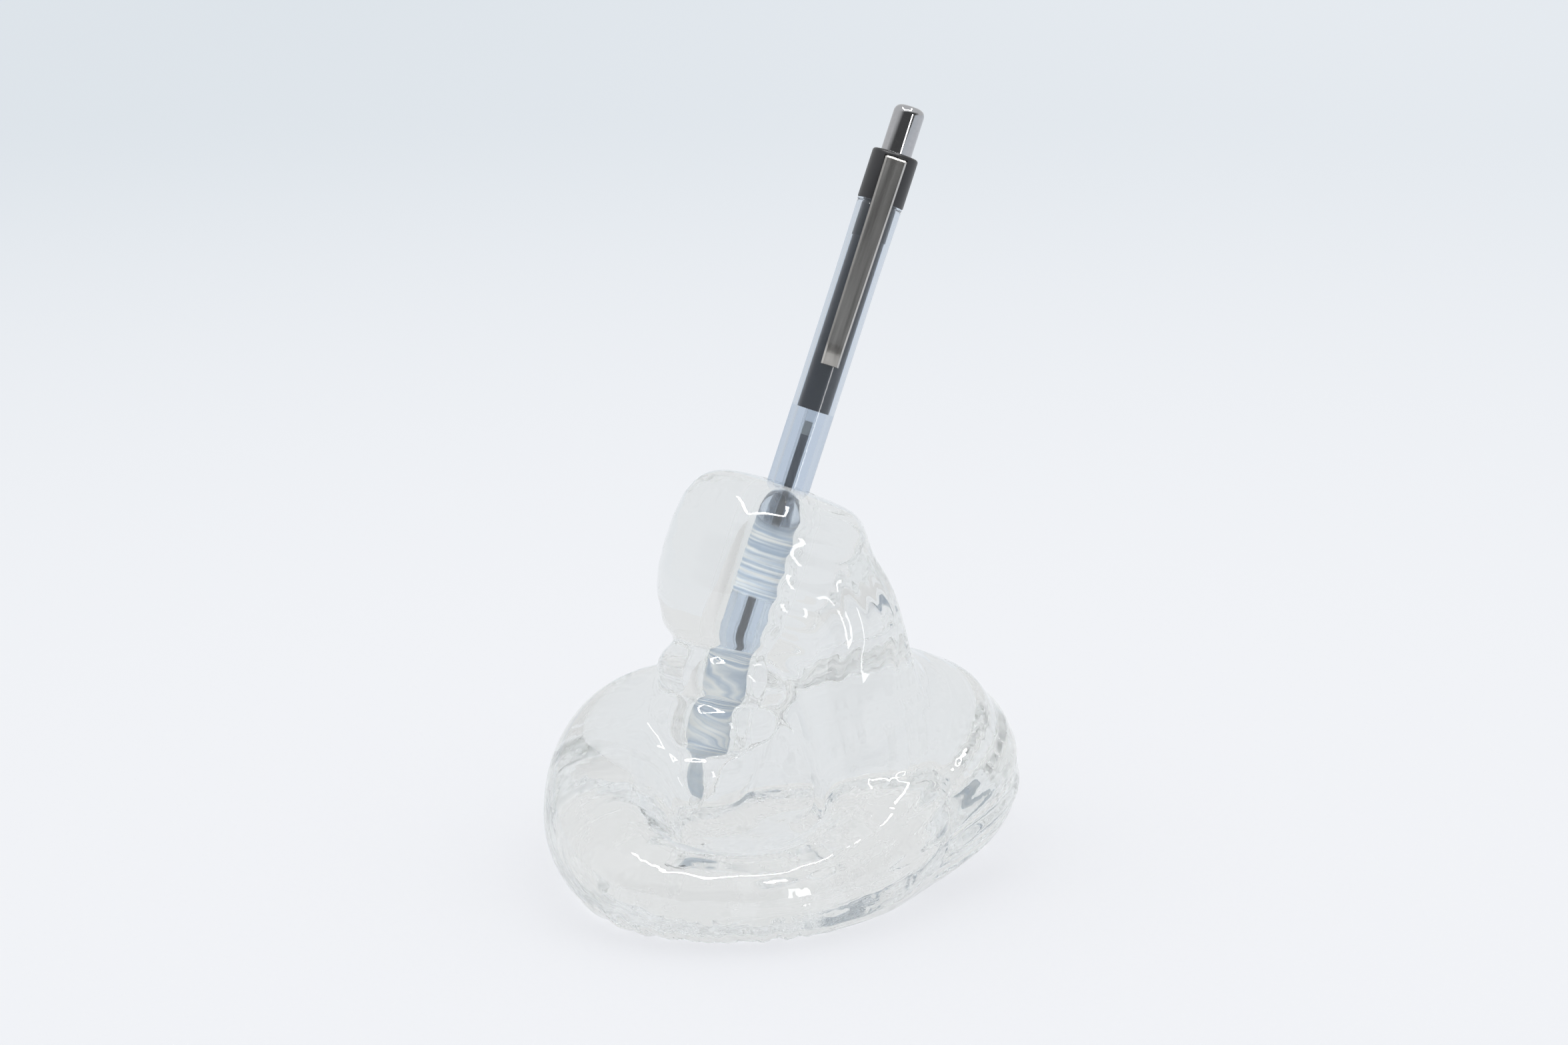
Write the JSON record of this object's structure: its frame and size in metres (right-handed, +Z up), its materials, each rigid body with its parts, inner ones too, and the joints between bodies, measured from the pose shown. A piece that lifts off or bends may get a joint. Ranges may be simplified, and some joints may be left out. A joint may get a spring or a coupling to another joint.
{
  "type": "pen stand",
  "caption": "Hand-formed clear glass pen stand: a leaning coiled neck on a looped fluted base, holding a retractable clear-barrel pen with pocket clip and push button.",
  "frame": {"origin": "on the table, at the middle of the stand's flat foot", "axes": "+X to the right as the stand is pictured, +Y away from the viewer, +Z up"},
  "size_m": [0.0979, 0.0943, 0.1535],
  "materials": {
    "clear_glass": "fire-polished, clear, faintly grey-green",
    "clear_barrel": "clear, blue-grey tint",
    "smoke_plastic": "gloss",
    "black_plastic": "gloss",
    "dark_sleeve": "satin",
    "nickel": "brushed, bright edges",
    "bright_chrome": "polished",
    "white_moulding": "moulded",
    "refill_plastic": "translucent",
    "black_ink": "wet",
    "follower_grease": "clear grease",
    "point_metal": "turned",
    "ball_metal": "ground",
    "spring_wire": "drawn wire"
  },
  "bodies": {
    "stand": {"glass_stand": "clear_glass"},
    "pen": {"barrel": "clear_barrel", "nose_cone": "smoke_plastic", "collar": "black_plastic", "cam_sleeve": "dark_sleeve"},
    "clip": {"pocket_clip": "nickel"},
    "button": {"push_button": "bright_chrome", "button_plunger": "white_moulding"},
    "refill": {"index_rotor": "white_moulding", "refill_tube": "refill_plastic", "ink_column": "black_ink", "ink_follower": "follower_grease", "tip_holder": "smoke_plastic", "writing_point": "point_metal", "writing_ball": "ball_metal", "return_spring": "spring_wire"}
  },
  "joints": [
    {"name": "pen_lift", "type": "slide", "parent": "stand", "child": "pen", "axis": [0.308, 0.1652, 0.9369], "range_m": [0, 0.075]},
    {"name": "clip_flex", "type": "hinge", "parent": "pen", "child": "clip", "pos_m": [0.02292, 0.02491, 0.14289], "axis": [-0.95, 0, 0.3123], "range_deg": [0, 4], "stiffness_Nm_per_rad": 2.4},
    {"name": "button_press", "type": "slide", "parent": "pen", "child": "button", "axis": [-0.308, -0.1652, -0.9369], "range_m": [0, 0.006], "stiffness_N_per_m": 300, "springref_m": -0.004},
    {"name": "refill_advance", "type": "slide", "parent": "pen", "child": "refill", "axis": [-0.308, -0.1652, -0.9369], "range_m": [0, 0.006], "deforming": ["return_spring"]}
  ],
  "couplings": [
    {"joint": "refill_advance", "follows": "button_press", "ratio": 1}
  ]
}
